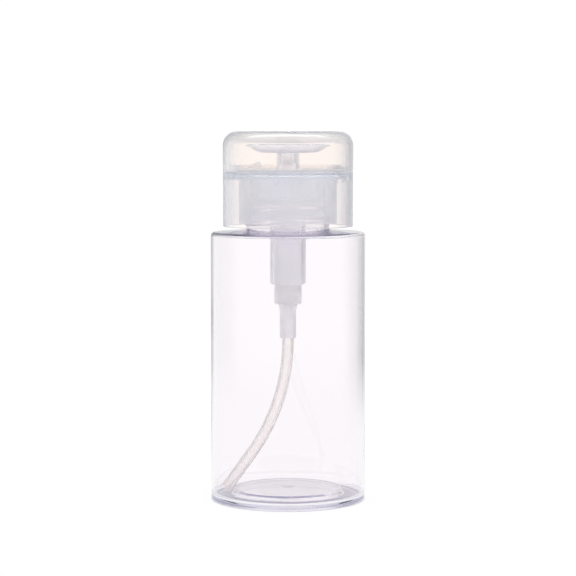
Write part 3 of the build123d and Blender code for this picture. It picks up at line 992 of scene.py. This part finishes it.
@dataclass
class Pump:
    """Pump in the neck, from the tube to the dish that works it."""

    sleeve_pp: Material
    body_pp: Material
    stem_pp: Material
    dish_pp: Material
    soft_pe: Material
    tube_pe: Material
    steel: Material
    spring_bottom: float = 74.7
    spring_top: float = 86.15
    spring_radius: float = 3.2
    wire: float = 0.6
    wire_sides: int = 10
    ground_off: float = 0.12
    turns: float = 7.25
    end_turns: float = 0.9
    end_pitch: float = 0.66
    points_per_turn: int = 32
    stroke: float = 5.0
    tube_radius: float = 2.05
    tube_wall: float = 0.7
    tube_sides: int = 64
    tube_top: float = 65.95
    tube_bend_top: float = 57.0
    tube_bend_radius: float = 70.0
    tube_bend_angle: float = 36.0
    tube_bend_steps: int = 72
    tube_end: float = 3.605

    def spring_route(self) -> list[Vector]:
        """Lay out the middle of the spring's wire: closed turns at both ends, open ones between.

        Returns:
            Points in millimetres, from the bottom up.
        """
        inset = self.wire / 2 - self.ground_off
        low, high = self.spring_bottom + inset, self.spring_top - inset
        open_turns = self.turns - 2 * self.end_turns
        open_rise = high - low - 2 * self.end_turns * self.end_pitch
        count = round(self.turns * self.points_per_turn)
        route = []
        for number in range(count + 1):
            turn = self.turns * number / count
            closed = min(turn, self.end_turns) + max(0.0, turn - self.turns + self.end_turns)
            open_share = min(max((turn - self.end_turns) / open_turns, 0.0), 1.0)
            height = low + closed * self.end_pitch + open_rise * open_share
            angle = FULL_TURN * turn
            route.append(Vector((self.spring_radius * math.cos(angle),
                                 self.spring_radius * math.sin(angle), height)))
        return route

    def spring(self) -> None:
        """Wind the return spring and grind its ends flat."""
        wound = Workpiece.along("spring_coil", self.spring_route(), self.wire / 2, self.wire_sides,
                                capped=True)
        for height, up in ((self.spring_bottom, -1.0), (self.spring_top, 1.0)):
            wound.shape(everywhere, partial(bpy.ops.mesh.bisect, plane_co=(0, 0, height * MM),
                                            plane_no=(0, 0, up), use_fill=True, clear_outer=True))
        piece = wound.close().hand_over(self.steel, Slot.STEEL, "pump")
        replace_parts(piece, "return_spring")
        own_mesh(piece)

    def tube(self) -> None:
        """Extrude the dip tube: straight down, one long bend, straight on to the corner."""
        bend = math.radians(self.tube_bend_angle)
        route = [Vector((0.0, 0.0, self.tube_top))]
        for step in range(self.tube_bend_steps + 1):
            angle = bend * step / self.tube_bend_steps
            route.append(Vector((self.tube_bend_radius * (math.cos(angle) - 1), 0.0,
                                 self.tube_bend_top - self.tube_bend_radius * math.sin(angle))))
        drop = route[-1].z - self.tube_end
        route.append(route[-1] + Vector((-drop * math.tan(bend), 0.0, -drop)))
        skin = Workpiece.along("dip_tube_wall", route, self.tube_radius, self.tube_sides,
                               capped=False)
        skin.close().modify("SOLIDIFY", thickness=self.tube_wall * MM, offset=-1.0,
                            use_even_offset=True)
        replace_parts(skin.close().hand_over(self.tube_pe, Slot.SOFT_PE, "pump"), "dip_tube")

    def build(self) -> None:
        """Build the pump."""
        dress(self.sleeve_pp, "pump_sleeve")
        dress(self.body_pp, "pump_cylinder", "ball_retainer", "stem_guide")
        dress(self.stem_pp, "piston_stem")
        dress(self.dish_pp, "press_dish", "outlet_cap")
        dress(self.soft_pe, "neck_gasket", "piston_seal")
        dress(self.steel, "suction_ball", "discharge_ball")
        self.tube()
        self.spring()


@dataclass(frozen=True)
class HingeWings:
    """One half of a butterfly hinge: two raised wings that grow from its middle to its ends."""

    seam: float
    side: int
    direction: float = 141.0
    half_angle: float = 24.0
    inner_radius: float = 22.95
    outer_radius: float = 23.85
    web: float = 0.45
    rise: float = 3.3
    rounding: float = 0.14
    steps: int = 24

    def wing(self, name: str, hand: int) -> Workpiece:
        """Model one wing: a curved wall, cut off along a slope that falls to the middle.

        Args:
            name: the piece's name.
            hand: 1 for the left wing, -1 for the right one.

        Returns:
            The wing, in place.
        """
        span = hand * math.radians(self.half_angle)
        wing = Workpiece.section(name, (self.outer_radius - self.inner_radius) * MM, self.rise * MM,
                                 ((self.outer_radius + self.inner_radius) / 2 * MM,
                                  (self.seam + self.side * self.rise / 2) * MM))
        wing.sweep(span, 0.0, self.steps)
        for angle in (0.0, span):
            wing.shape(in_direction(angle), bpy.ops.mesh.edge_face_add)
        slope = Vector((0.0, -hand * (self.rise - self.web),
                        self.side * self.outer_radius * math.sin(abs(span))))
        wing.shape(everywhere,
                   partial(bpy.ops.mesh.bisect,
                           plane_co=(0.0, 0.0, (self.seam + self.side * self.web) * MM),
                           plane_no=slope.normalized(), use_fill=True, clear_outer=True))
        wing.close().modify("BEVEL", width=self.rounding * MM, segments=2, limit_method="ANGLE")
        return wing.close().turn_and_place(math.radians(self.direction), (0.0, 0.0, 0.0))

    def build(self, name: str) -> list[Workpiece]:
        """Model both wings.

        Args:
            name: the start of the pieces' names.

        Returns:
            The left and the right wing.
        """
        return [self.wing(f"{name}_left", 1), self.wing(f"{name}_right", -1)]


@dataclass
class Closure:
    """Closure that screws on the neck, with the thread inside its skirt and its hinge wings."""

    pp: Material
    hinge_pp: Material
    bottle: Bottle
    skirt_bore: float = 16.12
    thread_crest_radius: float = 14.95
    below_neck_thread: float = 1.75
    thread_delay: float = 0.65
    step_height: float = 117.0

    def thread(self) -> None:
        """Model the thread in the skirt, which holds on to the underside of the neck's thread and
        starts a part of a turn after it."""
        height = (self.bottle.thread_start - self.below_neck_thread
                  + self.thread_delay * ScrewThread.pitch)
        ridge = ScrewThread(self.skirt_bore, self.thread_crest_radius, height,
                            self.bottle.thread_angle + 360 * self.thread_delay)
        ridge.build("closure_thread").hand_over(self.pp, Slot.NATURAL_PP, "closure")

    def build(self) -> None:
        """Build the closure."""
        dress(self.pp, "closure")
        self.thread()
        for wing in HingeWings(self.step_height, -1).build("closure_hinge_wing"):
            wing.hand_over(self.hinge_pp, Slot.NATURAL_PP, "closure")


@dataclass
class Lid:
    """Flip lid with its hinge wings, the film of the hinge and the gate mark on its top."""

    pp: Material
    hinge_pp: Material
    hinge_direction: float = 141.0
    film_radius: float = 24.0
    film_half_width: float = 1.5
    film_half_height: float = 0.75
    film_thickness: float = 0.22
    film_slope: float = 0.296
    film_rows: int = 10
    film_columns: int = 8
    film_smooth_angle: float = 60.0
    bend_share: float = 0.4
    seam_height: float = 117.05
    lid_bottom: float = 117.1
    gate_sides: int = 40
    gate_radius: float = 0.9
    gate_height: float = 0.14
    gate_lift: float = 0.3
    gate_rounding: float = 0.3
    top_height: float = 131.25

    def hinge_film(self) -> None:
        """Model the thin web that joins lid and closure in the middle of the hinge."""
        film = Workpiece("hinge_film", bpy.ops.mesh.primitive_grid_add, size=1.0,
                         x_subdivisions=self.film_columns, y_subdivisions=self.film_rows,
                         rotation=(math.pi / 2, 0.0, 0.0))
        film.shape(everywhere, partial(bpy.ops.transform.resize,
                                       value=(2 * self.film_half_width * MM, 1.0,
                                              2 * self.film_half_height * MM)))
        for row in range(self.film_rows + 1):
            height = (2 * row / self.film_rows - 1) * self.film_half_height * MM
            film.shape(at_height(height),
                       partial(bpy.ops.transform.translate,
                               value=(0, -self.film_slope * abs(height), 0)))
        film.modify("SOLIDIFY", thickness=self.film_thickness * MM, offset=0.0)
        film.close(self.film_smooth_angle)
        angle = math.radians(self.hinge_direction)
        seam = (self.film_radius * math.cos(angle) * MM, self.film_radius * math.sin(angle) * MM)
        film.turn_and_place(angle - math.pi / 2, (*seam, self.seam_height * MM))
        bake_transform(film.hand_over(self.pp, Slot.NATURAL_PP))

    def gate_mark(self) -> None:
        """Model the small round mark that the moulding leaves on the lid's top."""
        middle = self.top_height + self.gate_lift * self.gate_height
        mark = Workpiece("lid_gate_mark", bpy.ops.mesh.primitive_cylinder_add,
                         vertices=self.gate_sides, radius=self.gate_radius * MM,
                         depth=self.gate_height * MM, location=(0, 0, middle * MM))
        mark.modify("BEVEL", width=self.gate_rounding * self.gate_height * MM, segments=2,
                    limit_method="ANGLE")
        mark.close().hand_over(self.pp, Slot.NATURAL_PP, "lid")

    def build(self) -> None:
        """Build the lid."""
        dress(self.pp, "flip_lid")
        for wing in HingeWings(self.lid_bottom, 1).build("lid_hinge_wing"):
            wing.hand_over(self.hinge_pp, Slot.NATURAL_PP, "lid")
        self.hinge_film()
        self.gate_mark()


def main() -> None:
    """Build the set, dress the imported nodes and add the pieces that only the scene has."""
    logging.basicConfig(level=logging.INFO)
    Studio().build()
    bottle = Bottle(ClearPet().material())
    closure_pp, lid_pp, hinge_pp = (
        finish.material() for finish in (CLOSURE_FINISH, LID_FINISH, HINGE_FINISH))
    pump = Pump(*(finish.material() for finish in (
        SLEEVE_FINISH, PUMP_FINISH, STEM_FINISH, DISH_FINISH, SOFT_FINISH, TUBE_FINISH,
        StainlessSteel())))
    for sub_assembly in (bottle, pump, Closure(closure_pp, hinge_pp, bottle),
                         Lid(lid_pp, hinge_pp)):
        sub_assembly.build()


if __name__ == "__main__":
    main()
